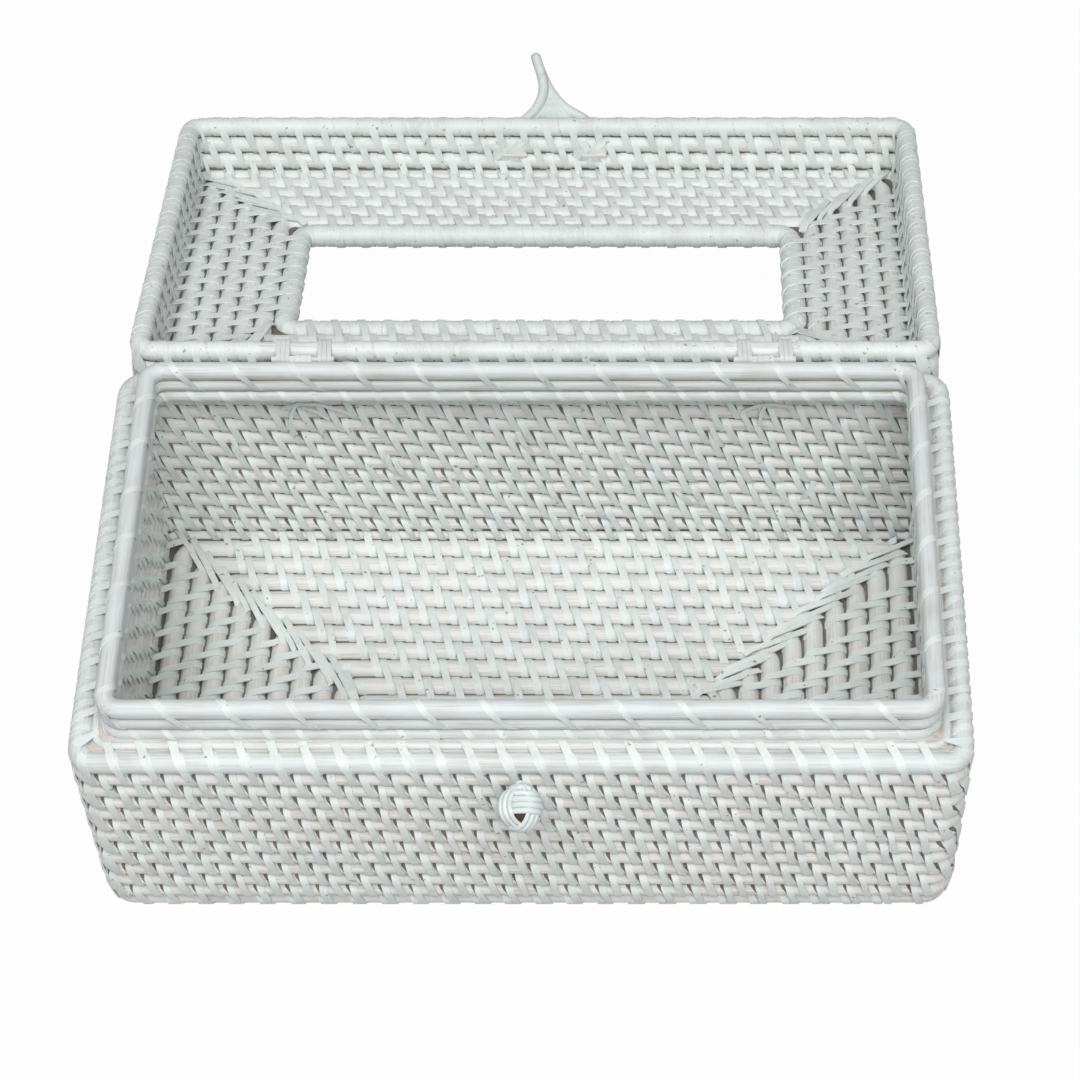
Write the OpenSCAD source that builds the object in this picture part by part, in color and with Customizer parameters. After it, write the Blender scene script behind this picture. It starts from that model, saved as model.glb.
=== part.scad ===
// Tissue box of coiled cane with a hinged lid, a slot in the lid and a loop-and-button closure.
// Frame: millimetres, +Z up, front towards -Y, origin under the middle of the floor.
// Every course of the coil is one closed ring of cane. The lid stands open, as it rests.

/* [Base] */
// Width over the rim rod
box_w = 280; // [240:1:320]
// Depth over the rim rod
box_d = 164.5; // [140:0.5:190]
// Diameter of the cane that the base wall is coiled from
rod_d = 5.8; // [5.5:0.1:6.4]
// Diameter of the cane that the floor is coiled from
floor_rod_d = 6.9; // [6:0.1:7]
// Thickness of the binding strip that passes between two courses
strip_t = 0.6; // [0.5:0.1:0.9]
// Number of courses in the base wall
wall_courses = 12; // [9:1:14]
// How far the base wall draws in from its top course to its lowest one
wall_taper = 2; // [0:0.5:4]
// How much further the lowest course is set in, which rounds the bottom edge
bottom_set_in = 1; // [0:0.5:2]
// Diameter of the rim rod
rim_d = 6.6; // [6:0.1:7]
// Radius of the middle of a rod where it turns a corner
corner_r = 5.5; // [5:0.5:9]

/* [Collar inside the rim] */
// Diameter of the top rod of the collar
collar_top_d = 6; // [5:0.1:6.2]
// Diameter of the middle rod of the collar
collar_mid_d = 5; // [4:0.1:5.4]
// Diameter of the low rod of the collar
collar_low_d = 5.2; // [5:0.1:5.6]
// Height of the middle of the low collar rod above that of the rim rod
collar_low_rise = 4.4; // [4:0.1:4.6]
// Gap between two rods of the collar
collar_gap = 0.4; // [0.3:0.1:0.8]
// Diameter of the thin rod that fills the seat between rim and collar
seat_d = 2.6; // [2:0.1:2.8]
// Height of the middle of the seat rod above that of the rim rod
seat_rise = 2.2; // [2:0.1:2.4]

/* [Lid] */
// Diameter of the cane that the lid is coiled from
lid_rod_d = 6.4; // [6:0.1:7]
// Number of courses in the lid wall above its rim rod
lid_wall_courses = 2; // [1:1:4]
// Number of courses in the lid top, outside the slot
lid_top_courses = 6; // [4:1:7]
// How far the lid wall is set in from the base rim
lid_set_in = 2; // [1.5:0.1:3]
// How far the first course of the top is set in, which rounds the edge
lid_edge_set_in = 1.5; // [0:0.5:3]
// Diameter of the bound rod round the tissue slot
slot_rod_d = 7.6; // [7:0.1:8.4]
// Gap between the closed lid's rim rod and the base's, where both are bound
lid_rest_gap = 1.2; // [0.8:0.1:2]
// Gap between the lid wall and the collar that it closes over
collar_play = 1.1; // [0.8:0.1:2]

/* [Hinges] */
// Distance of each hinge from the middle of the box
hinge_x = 78; // [50:1:95]
// How far the hinge pin lies behind the middle of the base's rim rod
pin_back = 4.6; // [4.4:0.1:5]
// Height of the hinge pin above the middle of the base's rim rod
pin_rise = 6.6; // [6.3:0.1:7]
// Diameter of the cane hinge pin
pin_d = 2.4; // [2:0.1:2.6]
// Radial clearance of the pin in the base's lashing
pin_play = 0.3; // [0.2:0.05:0.35]
// Thickness of a hinge lashing
lashing_t = 0.5; // [0.4:0.05:0.55]
// Length along the pin of the lashing on the base
base_lashing_l = 8; // [6:0.5:12]
// Length along the pin of each of the two lashings on the lid
lid_lashing_l = 5; // [3:0.5:7]
// Gap along the pin between two lashings
lashing_gap = 0.5; // [0.4:0.1:1]
// How far the pin stands out of the outer lashings
pin_overhang = 1; // [0.5:0.5:3]
// Angle that the lid opens through
open_angle = 194; // [120:1:194]

/* [Button] */
// Diameter of the body of the button knot
button_d = 15; // [12:0.5:16]
// Gap between the button knot and the wall
button_standoff = 1.6; // [1:0.1:3]
// Diameter of the shank
shank_d = 4; // [3:0.5:5]
// Depth of the bore in the knot that takes the shank
shank_socket = 5; // [3:0.5:6]
// Clearance of the shank in its bore, and of its foot on the wall
shank_play = 0.2; // [0.15:0.05:0.3]

/* [Closure loop] */
// Diameter of the loop's strand
loop_d = 3.4; // [3:0.1:3.6]
// Length of the loop from the wall to its outer tip
loop_l = 36.4; // [34:0.1:40]
// Angle that the loop leans out from the lid wall
loop_lean = 50; // [48:1:60]
// Place along the width of the middle between the loop's two roots
loop_mid_x = 2; // [-4:0.5:6]
// Place along the width of the loop's tip
loop_tip_x = -6.4; // [-10:0.1:4]
// Half the distance between the loop's two roots
loop_half_spread = 15; // [12:0.5:18]
// Distance from the wall at which the legs have come half way together
loop_close_at = 15; // [13:0.5:18]
// Length over which the legs come together
loop_close_len = 3; // [2.5:0.1:4]
// Half the distance between the two strands where they lie one behind the other
loop_half_pair = 2.0; // [1.95:0.05:2.4]
// Gap between the loop's roots and the two rods that they come out between
loop_root_gap = 0.45; // [0.3:0.05:0.6]
// Diameter of the two pegs inside the lid that hold the loop, each in the groove between two rods
loop_peg_d = 2.2; // [1.8:0.1:2.4]
// Length of a peg between its round ends
loop_peg_l = 8; // [5:0.5:12]

/* [Hidden] */
big = 1000;
round_fn = 48;

// Base wall and floor
pitch = rod_d + strip_t;
rim_w = box_w - rim_d;
rim_dep = box_d - rim_d;
wall_z0 = rod_d / 2;
wall_top_z = wall_z0 + (wall_courses - 1) * pitch;
rim_z = wall_top_z + rod_d / 2 + strip_t + rim_d / 2;
floor_inset = wall_taper + bottom_set_in;
floor_half = rim_dep / 2 - floor_inset;
floor_courses = floor(floor_half / (floor_rod_d + strip_t) - 1 + 0.01);
floor_pitch = floor_half / (floor_courses + 1);
core_l = rim_w - rim_dep;
core_flat = 0.4;
core_d = floor_rod_d + core_flat;
function wall_inset(k) = wall_taper * (1 - k / (wall_courses - 1)) + (k == 0 ? bottom_set_in : 0);
function wall_z(k) = wall_z0 + k * pitch;

// Lid, in the closed position
lid_w = rim_w - 2 * lid_set_in;
lid_dep = rim_dep - 2 * lid_set_in;
lid_pitch = lid_rod_d + strip_t;
rest_c = (rim_d + lid_rod_d) / 2 + lid_rest_gap;
lid_rim_z = rim_z + sqrt(rest_c * rest_c - lid_set_in * lid_set_in);
lid_top_z = lid_rim_z + (lid_wall_courses + 1) * lid_pitch;
slot_inset = lid_edge_set_in + (lid_top_courses - 1) * lid_pitch
    + lid_rod_d / 2 + strip_t + slot_rod_d / 2;
lid_inner_inset = lid_set_in + lid_rod_d / 2;

// Collar and seat
collar_inset = lid_inner_inset + collar_play + collar_low_d / 2;
collar_low_z = rim_z + collar_low_rise;
collar_mid_z = collar_low_z + (collar_low_d + collar_mid_d) / 2 + collar_gap;
collar_top_z = collar_mid_z + (collar_mid_d + collar_top_d) / 2 + collar_gap;
seat_inset = (rim_d / 2 + collar_inset - collar_low_d / 2) / 2;

// Hinge
pin_y = rim_dep / 2 + pin_back;
pin_z = rim_z + pin_rise;
lashing_fit = 0.05;
pin_l = base_lashing_l + 2 * (lid_lashing_l + lashing_gap + pin_overhang);
lid_lashing_x = base_lashing_l / 2 + lashing_gap + lid_lashing_l / 2;

// Button, seated on the top course of the wall
button_z = wall_top_z;
wall_front_y = -rim_dep / 2 - rod_d / 2;
button_y = wall_front_y - button_standoff - button_d / 2;
shank_foot_y = wall_front_y - shank_play;
shank_head_y = button_y + button_d / 2 - shank_socket + shank_play;

// Loop, in the closed position of the lid
loop_root_z = lid_rim_z + 1.5 * lid_pitch;
// How far a round of diameter d stands off the middle plane of the wall, where it nestles
// between two rods of the lid with this gap
function nestled(d, gap) = sqrt(pow((lid_rod_d + d) / 2 + gap, 2) - pow(lid_pitch / 2, 2));
loop_root_y = -lid_dep / 2 - nestled(loop_d, loop_root_gap);
loop_peg_y = -lid_dep / 2 + nestled(loop_peg_d, shank_play);
loop_s_end = loop_l - loop_d / 2 - loop_half_pair;
leg_rings = 30;
turn_rings = 8;
loop_sides = 8;

wall_names = [for (k = [0 : wall_courses - 1]) str("base_wall_rod_", k < 9 ? "0" : "", k + 1)];
floor_names = [for (k = [1 : floor_courses]) str("base_floor_rod_", k < 10 ? "0" : "", k)];
lid_wall_names = [for (k = [1 : lid_wall_courses]) str("lid_wall_rod_", k)];
lid_top_names = [for (k = [1 : lid_top_courses]) str("lid_top_rod_", k)];

// A rod bent to a rectangle. w and d run along the middle of the rod, and r is its corner radius.
// Half sizes are kept to a hundredth, so that straights and corners meet exactly.
module rod_ring(w, d, z, rod, r = corner_r) {
    half_x = round(w / 2 * 100) / 100 - r;
    half_y = round(d / 2 * 100) / 100 - r;
    translate([0, 0, z])
        for (side = [0, 1])
            rotate(180 * side) {
                translate([-half_x, half_y + r, 0])
                    rotate([0, 90, 0])
                        cylinder(d = rod, h = 2 * half_x, $fn = round_fn);
                translate([half_x + r, half_y, 0])
                    rotate([90, 0, 0])
                        cylinder(d = rod, h = 2 * half_y, $fn = round_fn);
                translate([half_x, half_y, 0])
                    rotate_extrude(angle = 90, $fn = 2 * round_fn)
                        translate([r, 0])
                            circle(d = rod, $fn = round_fn);
                translate([half_x, -half_y, 0])
                    rotate_extrude(angle = 90, start = 270, $fn = 2 * round_fn)
                        translate([r, 0])
                            circle(d = rod, $fn = round_fn);
            }
}

// A straight rod along X with round ends
module rod_x(l, rod) {
    rotate([0, 90, 0])
        cylinder(d = rod, h = l, center = true, $fn = round_fn);
    for (side = [-1, 1])
        translate([side * l / 2, 0, 0])
            sphere(d = rod, $fn = round_fn);
}

// Places its children, drawn for the closed lid, in the open lid
module opened() {
    translate([0, pin_y, pin_z])
        rotate([-open_angle, 0, 0])
            translate([0, -pin_y, -pin_z])
                children();
}

module base_floor_core() {
    color([0.87, 0.89, 0.88])
        difference() {
            translate([0, 0, core_d / 2 - core_flat])
                rod_x(core_l, core_d);
            translate([0, 0, -big / 2])
                cube(big, center = true);
        }
}

module base_floor_rod(k) {
    inset = floor_inset + k * floor_pitch;
    color([0.87, 0.89, 0.88])
        rod_ring(rim_w - 2 * inset, rim_dep - 2 * inset, floor_rod_d / 2, floor_rod_d,
            min(corner_r, rim_dep / 2 - inset - 0.5));
}

module base_wall_rod(k) {
    color([0.84, 0.88, 0.87])
        rod_ring(rim_w - 2 * wall_inset(k), rim_dep - 2 * wall_inset(k), wall_z(k), rod_d);
}

module base_rim_rod() {
    color([0.92, 0.94, 0.93])
        rod_ring(rim_w, rim_dep, rim_z, rim_d);
}

module seat_rod() {
    color([0.7, 0.72, 0.7])
        rod_ring(rim_w - 2 * seat_inset, rim_dep - 2 * seat_inset, rim_z + seat_rise, seat_d);
}

module collar_rod(z, rod) {
    color([0.92, 0.94, 0.93])
        rod_ring(rim_w - 2 * collar_inset, rim_dep - 2 * collar_inset, z, rod);
}

module lid_ring(inset, z, rod) {
    color([0.86, 0.9, 0.89])
        opened()
            rod_ring(lid_w - 2 * inset, lid_dep - 2 * inset, z, rod);
}

module lid_rim_rod() {
    lid_ring(0, lid_rim_z, lid_rod_d);
}

module lid_wall_rod(k) {
    lid_ring(0, lid_rim_z + k * lid_pitch, lid_rod_d);
}

module lid_top_rod(k) {
    lid_ring(lid_edge_set_in + (k - 1) * lid_pitch, lid_top_z, lid_rod_d);
}

module slot_edge_rod() {
    lid_ring(slot_inset, lid_top_z, slot_rod_d);
}

// A lashing that runs round two parallel rods along X, with a bore for each
module lashing(l, a_y, a_z, a_bore, b_y, b_z, b_bore, t) {
    reach = norm([b_y - a_y, b_z - a_z]);
    web = min(a_bore, b_bore) + 2 * t - 0.6;
    translate([0, a_y, a_z])
        rotate([atan2(b_z - a_z, b_y - a_y), 0, 0])
            rotate([90, 0, 90])
                linear_extrude(height = l, center = true)
                    difference() {
                        union() {
                            circle(d = a_bore + 2 * t, $fn = round_fn);
                            translate([reach, 0])
                                circle(d = b_bore + 2 * t, $fn = round_fn);
                            translate([0, -web / 2])
                                square([reach, web]);
                        }
                        circle(d = a_bore, $fn = round_fn);
                        translate([reach, 0])
                            circle(d = b_bore, $fn = round_fn);
                    }
}

module hinge_lashing(side) {
    color([0.83, 0.85, 0.83])
        translate([side * hinge_x, 0, 0])
            lashing(base_lashing_l, rim_dep / 2, rim_z, rim_d + 2 * lashing_fit,
                pin_y, pin_z, pin_d + 2 * pin_play, lashing_t);
}

module lid_lashing(side) {
    color([0.83, 0.85, 0.83])
        opened()
            for (end = [-1, 1])
                translate([side * hinge_x + end * lid_lashing_x, 0, 0])
                    lashing(lid_lashing_l, lid_dep / 2, lid_rim_z, lid_rod_d + 2 * lashing_fit,
                        pin_y, pin_z, pin_d + 2 * lashing_fit, lashing_t);
}

module hinge_pin(side) {
    color([0.75, 0.77, 0.75])
        translate([side * hinge_x, pin_y, pin_z])
            rotate([0, 90, 0])
                cylinder(d = pin_d, h = pin_l, center = true, $fn = round_fn);
}

module button_knot() {
    color([0.93, 0.94, 0.93])
        difference() {
            translate([0, button_y, button_z])
                sphere(d = button_d, $fn = 2 * round_fn);
            translate([0, button_y + button_d / 2 - shank_socket, button_z])
                rotate([-90, 0, 0])
                    cylinder(d = shank_d + 2 * shank_play, h = button_d, $fn = round_fn);
        }
}

module button_shank() {
    color([0.75, 0.77, 0.75])
        translate([0, shank_head_y, button_z])
            rotate([-90, 0, 0])
                cylinder(d = shank_d, h = shank_foot_y - shank_head_y, $fn = round_fn);
}

module loop_peg(side) {
    color([0.85, 0.88, 0.87])
        opened()
            translate([loop_mid_x + side * loop_half_spread, loop_peg_y, loop_root_z])
                rod_x(loop_peg_l, loop_peg_d);
}

// The loop's middle line in its own frame: x along the box, s away from the wall, t across both
function loop_apart(s) = 1 / (1 + exp((s - loop_close_at) / loop_close_len));
function loop_x(s, side) =
    let (centre = loop_mid_x + (loop_tip_x - loop_mid_x) * pow(max(s, 0) / loop_s_end, 1.5))
    centre + side * loop_half_spread * loop_apart(s);
function loop_t(s, side) = side * loop_half_pair * (1 - loop_apart(s + loop_close_len));
function loop_leg(side) =
    [for (i = [0 : leg_rings]) let (s = loop_s_end * i / leg_rings) [loop_x(s, side), s, loop_t(s, side)]];
function loop_turn() =
    [for (i = [1 : turn_rings - 1]) let (a = 180 * i / turn_rings)
        [loop_tip_x, loop_s_end + loop_half_pair * sin(a), -loop_half_pair * cos(a)]];
function reversed(list) = [for (i = [len(list) - 1 : -1 : 0]) list[i]];
loop_line = concat(loop_leg(-1), loop_turn(), reversed(loop_leg(1)));

function unit(v) = v / norm(v);
function tangent(line, i) = unit(line[min(i + 1, len(line) - 1)] - line[max(i - 1, 0)]);
// Least distance of the tube to itself, measured between points that lie far apart along it
function self_gap(line, d, skip) =
    min([for (i = [0 : len(line) - 1], j = [0 : len(line) - 1])
        if (j > i + skip) norm(line[i] - line[j])]) - d;

// A tube along a line of points, closed at both ends
module tube(line, d, sides) {
    n = len(line);
    points = [for (i = [0 : n - 1])
        let (t = tangent(line, i), u = unit(cross(t, [1, 0, 0])), v = cross(t, u))
        for (j = [0 : sides - 1])
            let (a = 360 * j / sides)
            line[i] + d / 2 * (cos(a) * u + sin(a) * v)];
    walls = [for (i = [0 : n - 2], j = [0 : sides - 1])
        let (a = i * sides + j, b = i * sides + (j + 1) % sides)
        each [[a, a + sides, b], [b, a + sides, b + sides]]];
    caps = [for (j = [1 : sides - 2])
        each [[0, j, j + 1], [(n - 1) * sides, (n - 1) * sides + j + 1, (n - 1) * sides + j]]];
    polyhedron(points = points, faces = concat(walls, caps));
}

module closure_loop() {
    echo(loop_self_gap = self_gap(loop_line, loop_d, 2 * turn_rings));
    color([0.8, 0.85, 0.84])
        opened()
            translate([0, loop_root_y, loop_root_z])
                rotate([90 - loop_lean, 0, 0])
                    mirror([0, 1, 0])
                        tube(loop_line, loop_d, loop_sides);
}

base_floor_core();
for (k = [1 : floor_courses])
    base_floor_rod(k);
for (k = [0 : wall_courses - 1])
    base_wall_rod(k);
base_rim_rod();
seat_rod();
collar_rod(collar_low_z, collar_low_d);  // collar_low_rod
collar_rod(collar_mid_z, collar_mid_d);  // collar_middle_rod
collar_rod(collar_top_z, collar_top_d);  // collar_top_rod
button_shank();
button_knot();
hinge_lashing(-1);  // hinge_lashing_left
hinge_lashing(1);  // hinge_lashing_right
lid_rim_rod();
for (k = [1 : lid_wall_courses])
    lid_wall_rod(k);
for (k = [1 : lid_top_courses])
    lid_top_rod(k);
slot_edge_rod();
lid_lashing(-1);  // lid_lashing_left
lid_lashing(1);  // lid_lashing_right
hinge_pin(-1);  // hinge_pin_left
hinge_pin(1);  // hinge_pin_right
loop_peg(-1);  // loop_peg_left
loop_peg(1);  // loop_peg_right
closure_loop();
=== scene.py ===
# %% [markdown]
# # A cane tissue box, thrown open
# A rectangular box is coiled from round cane. Flat strips of cane spiral round each pair of
# neighbouring courses and tie them together, and the whole is painted with a thin white wash.
# The solid rods come from the measured model. This file winds the strips round them, makes the
# ball button and the loop, paints everything, and sets up the studio and the camera.

# %% Load the measured model
import math

import bmesh
import bpy
from mathutils import Matrix, Vector


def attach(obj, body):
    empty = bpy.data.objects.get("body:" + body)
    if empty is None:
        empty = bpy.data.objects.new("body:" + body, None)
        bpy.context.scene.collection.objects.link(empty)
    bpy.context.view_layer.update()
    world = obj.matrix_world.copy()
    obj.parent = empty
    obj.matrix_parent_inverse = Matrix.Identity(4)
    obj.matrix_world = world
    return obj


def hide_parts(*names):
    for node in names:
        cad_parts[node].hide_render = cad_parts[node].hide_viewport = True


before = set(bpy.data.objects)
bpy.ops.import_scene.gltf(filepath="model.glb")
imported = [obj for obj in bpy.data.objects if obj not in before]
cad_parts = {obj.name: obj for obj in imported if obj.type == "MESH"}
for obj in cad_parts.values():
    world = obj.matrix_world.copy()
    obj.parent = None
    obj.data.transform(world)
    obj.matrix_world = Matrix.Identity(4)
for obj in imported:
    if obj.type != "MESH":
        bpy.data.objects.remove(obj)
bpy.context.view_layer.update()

# %% [markdown]
# ## Working by hand, in millimetres
# Blender counts in metres, and cane is easier to think of in millimetres, so sizes are written in
# millimetres and turned into metres where they are used. Operators act on whatever is selected, so
# a few small helpers say what that is before each step.

# %% Small helpers
MM = 0.001
SMOOTH = math.radians(50)


def metres(place):
    return [v * MM for v in place]


def deselect():
    if bpy.context.mode != "OBJECT":
        bpy.ops.object.mode_set(mode="OBJECT")
    bpy.ops.object.select_all(action="DESELECT")


def only(piece):
    deselect()
    piece.select_set(True)
    bpy.context.view_layer.objects.active = piece


def edit_all():
    """Opens the active piece in edit mode, with all of it selected."""
    bpy.ops.object.mode_set(mode="EDIT")
    bpy.ops.mesh.select_all(action="SELECT")


def pull(last, now):
    """Extrudes what is selected from one place to the next, both in millimetres."""
    bpy.ops.mesh.extrude_region_move(
        TRANSFORM_OT_translate={"value": [(b - a) * MM for a, b in zip(last, now)]})


def spin_selected(angle, axis, centre):
    """Turns what is selected by the right-hand rule, as transform.rotate does with a window."""
    bpy.ops.transform.rotate(value=-angle, orient_axis=axis, orient_type="GLOBAL", center_override=centre)


def join(name, pieces):
    deselect()
    for piece in pieces:
        piece.select_set(True)
    bpy.context.view_layer.objects.active = pieces[0]
    if len(pieces) > 1:
        bpy.ops.object.join()
    piece = bpy.context.active_object
    piece.name = piece.data.name = name
    bpy.ops.object.shade_smooth_by_angle(angle=SMOOTH)
    return piece


# %% [markdown]
# ## The camera
# The photograph looks down into the box from high in front and a little to the right. The focal
# length and the place come from a fit to the rows of the coil. The box stands left of the middle
# of the lens, so the picture is a cropped one, and the sensor is shifted by the same amount.

# %% Camera
PHOTO_PX = 1080.0
FOCAL_PX = 3309.3
CENTRE_X_PX = 670.6
SENSOR_MM = 36.0
PITCH = math.radians(50.50)
CAMERA_AT = (46.2 * MM, -674.2 * MM, 910.2 * MM)

camera_data = bpy.data.cameras.new("photo_camera")
camera_data.sensor_fit = "HORIZONTAL"
camera_data.sensor_width = SENSOR_MM
camera_data.lens = SENSOR_MM * FOCAL_PX / PHOTO_PX
camera_data.shift_x = (PHOTO_PX / 2 - CENTRE_X_PX) / PHOTO_PX
camera = bpy.data.objects.new("photo_camera", camera_data)
bpy.context.scene.collection.objects.link(camera)
camera.location = CAMERA_AT
camera.rotation_euler = (math.pi / 2 - PITCH, 0.0, 0.0)
bpy.context.scene.camera = camera
print("lens", round(camera_data.lens, 1), "mm, shift", round(camera_data.shift_x, 4))

# %% [markdown]
# ## Where the courses lie
# The strips need the middle of every rod. Each ring is a rectangle with rounded corners, so its
# inset from the rim's rod, its height and its radius say all. These repeat the model's values. The
# lid's rings are given as they lie when it is shut, and what is wound on them is opened later about
# the hinge pins.

# %% The rods as numbers: (inset, z, radius), from the lowest or the outermost
RIM_X, RIM_Y, RIM_Z = 136.7, 78.95, 80.1
CORNER = 5.5
FOOT_IN, LOWEST_IN = 2.0, 1.0
WALL_R, WALL_PITCH, WALL_COUNT = 2.9, 6.4, 12
WALL = [(FOOT_IN * (1 - k / (WALL_COUNT - 1)) + (LOWEST_IN if k == 0 else 0.0),
         WALL_R + WALL_PITCH * k, WALL_R) for k in range(WALL_COUNT)]
FLOOR_R, FLOOR_PITCH = 3.45, 7.595
FLOOR = [WALL[0]] + [(WALL[0][0] + FLOOR_PITCH * k, FLOOR_R, FLOOR_R) for k in range(1, 11)]
RIM = (0.0, RIM_Z, 3.3)
SEAT = (4.8, RIM_Z + 2.2, 1.3)
COLLAR = [(8.9, RIM_Z + rise, radius) for rise, radius in ((4.4, 2.6), (9.9, 2.5), (15.8, 3.0))]

LID_RIM_Z, LID_PITCH, LID_R = 87.536, 7.0, 3.2
LID_TOP_Z = LID_RIM_Z + 3 * LID_PITCH
LID_WALL = [(2.0, LID_RIM_Z + LID_PITCH * k, LID_R) for k in range(3)]
LID_TOP = [(3.5 + LID_PITCH * k, LID_TOP_Z, LID_R) for k in range(6)]
SLOT = (2.0 + 44.1, LID_TOP_Z, 3.8)

HINGE_X = 78.0
PIN_YZ = (83.55, 86.7)
PIN = (0.0, PIN_YZ[0] * MM, PIN_YZ[1] * MM)
OPEN = math.radians(194.0)

# %% [markdown]
# ## Shader sums
# Colour that changes over a surface comes from sums on noise. A socket wrapped in a small class
# lets those sums be written as plain Python expressions.

# %% A socket that can be added and multiplied


class Val:
    """An output socket of a paint's nodes, on which plain sums can be done."""

    def __init__(self, paint, socket):
        self.paint, self.socket = paint, socket

    def _sum(self, other, operation, swap=False):
        pair = (other, self) if swap else (self, other)
        return self.paint.node("ShaderNodeMath", {"operation": operation}, dict(enumerate(pair)))

    def __add__(self, other):
        return self._sum(other, "ADD")

    def __radd__(self, other):
        return self._sum(other, "ADD", True)

    def __sub__(self, other):
        return self._sum(other, "SUBTRACT")

    def __rsub__(self, other):
        return self._sum(other, "SUBTRACT", True)

    def __mul__(self, other):
        return self._sum(other, "MULTIPLY")

    def __rmul__(self, other):
        return self._sum(other, "MULTIPLY", True)

    def __gt__(self, other):
        return self._sum(other, "GREATER_THAN")

    def __abs__(self):
        return self.paint.node("ShaderNodeMath", {"operation": "ABSOLUTE"}, {0: self})


# %% A paint under construction


def srgb(colour):
    """A colour as the eye reads it, 0 to 255, turned into the light values that a shader takes."""
    return tuple(((c / 255 + 0.055) / 1.055) ** 2.4 if c > 10 else c / 3294 for c in colour)


class Paint:
    """A material under construction: its nodes are added one at a time."""

    def __init__(self, name):
        self.material = bpy.data.materials.new(name)
        self.material.use_nodes = True
        self.tree = self.material.node_tree
        self.shader = self.tree.nodes["Principled BSDF"]

    def node(self, kind, settings=None, links=None, output=0):
        made = self.tree.nodes.new(kind)
        for key, value in (settings or {}).items():
            if key == "stops":
                ramp = made.color_ramp
                while len(ramp.elements) < len(value):
                    ramp.elements.new(0.5)
                for element, (place, colour) in zip(ramp.elements, value):
                    element.position = place
                    element.color = (*srgb(colour), 1.0)
            else:
                setattr(made, key, value)
        for key, value in (links or {}).items():
            self.plug(made.inputs[key], value)
        return Val(self, made.outputs[output])

    def noise(self, at, scale, detail):
        return self.node("ShaderNodeTexNoise", {}, {"Vector": at, "Scale": scale, "Detail": detail})

    def plug(self, target, value):
        if isinstance(value, Val):
            self.tree.links.new(value.socket, target)
        else:
            target.default_value = value

    def out(self, **values):
        for key, value in values.items():
            self.plug(self.shader.inputs[key.replace("_", " ")], value)


# %% [markdown]
# ## Paint
# The wash is a thin, cool greenish white. It lies thickest on the flat strips and thinner on the
# round rods, where the warmer cane shows through in long streaks. A strip carries its own UV map,
# with u across it and v along it, so its fibres are noise stretched along v, and the wash has worn
# off it in specks. A rod has no map, so its streaks run along X on the long sides and along Y on
# the short ones, split at the mitre.

# %% The wash on the strips and on the rods
UV_MM = 3.0  # the length of strip for each unit of v
BLOTCH, SPECK, ROD_BLOTCH = 95.0, 420.0, 70.0
FIBRE_ACROSS, FIBRE_ALONG = 9.0, 0.9
STREAK_ALONG, STREAK_ACROSS = 45.0, 1500.0


def lighter(colour, by):
    return [min(255, part + by) for part in colour]


def roughened(rough, fibre):
    """A roughness that the fibres move by a tenth either way."""
    return fibre * 0.2 + (rough - 0.1)


def strip_paint(name, light, shade, worn_share=0.85):
    paint = Paint(name)
    uv = paint.node("ShaderNodeUVMap", {"uv_map": "UVMap"})
    here = paint.node("ShaderNodeTexCoord", output="Object")
    stretched = paint.node("ShaderNodeMapping", {}, {"Vector": uv, "Scale": (FIBRE_ACROSS, FIBRE_ALONG, 1.0)})
    fibre = paint.noise(stretched, 1.0, 4.0)
    tone = fibre * 0.45 + paint.noise(here, BLOTCH, 3.0) * 0.55
    colour = paint.node("ShaderNodeValToRGB", {"stops": [
        (0.36, shade), (0.52, light), (0.70, lighter(light, 7))]}, {0: tone})
    speck = paint.node("ShaderNodeValToRGB", {"stops": [
        (0.0, (150, 128, 108)), (0.285, (172, 154, 136)), (0.33, (255, 255, 255))]},
        {0: paint.noise(here, SPECK, 5.0)})
    # in a Mix node, inputs 6 and 7 and output 2 are the ones for colours
    mixed = paint.node("ShaderNodeMix", {"data_type": "RGBA", "blend_type": "MULTIPLY"},
                       {0: worn_share, 6: colour, 7: speck}, output=2)
    bump = paint.node("ShaderNodeBump", {}, {"Strength": 0.35, "Distance": 0.25 * MM, "Height": fibre})
    paint.out(Base_Color=mixed, Roughness=roughened(0.52, fibre), Normal=bump)
    return paint.material


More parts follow.
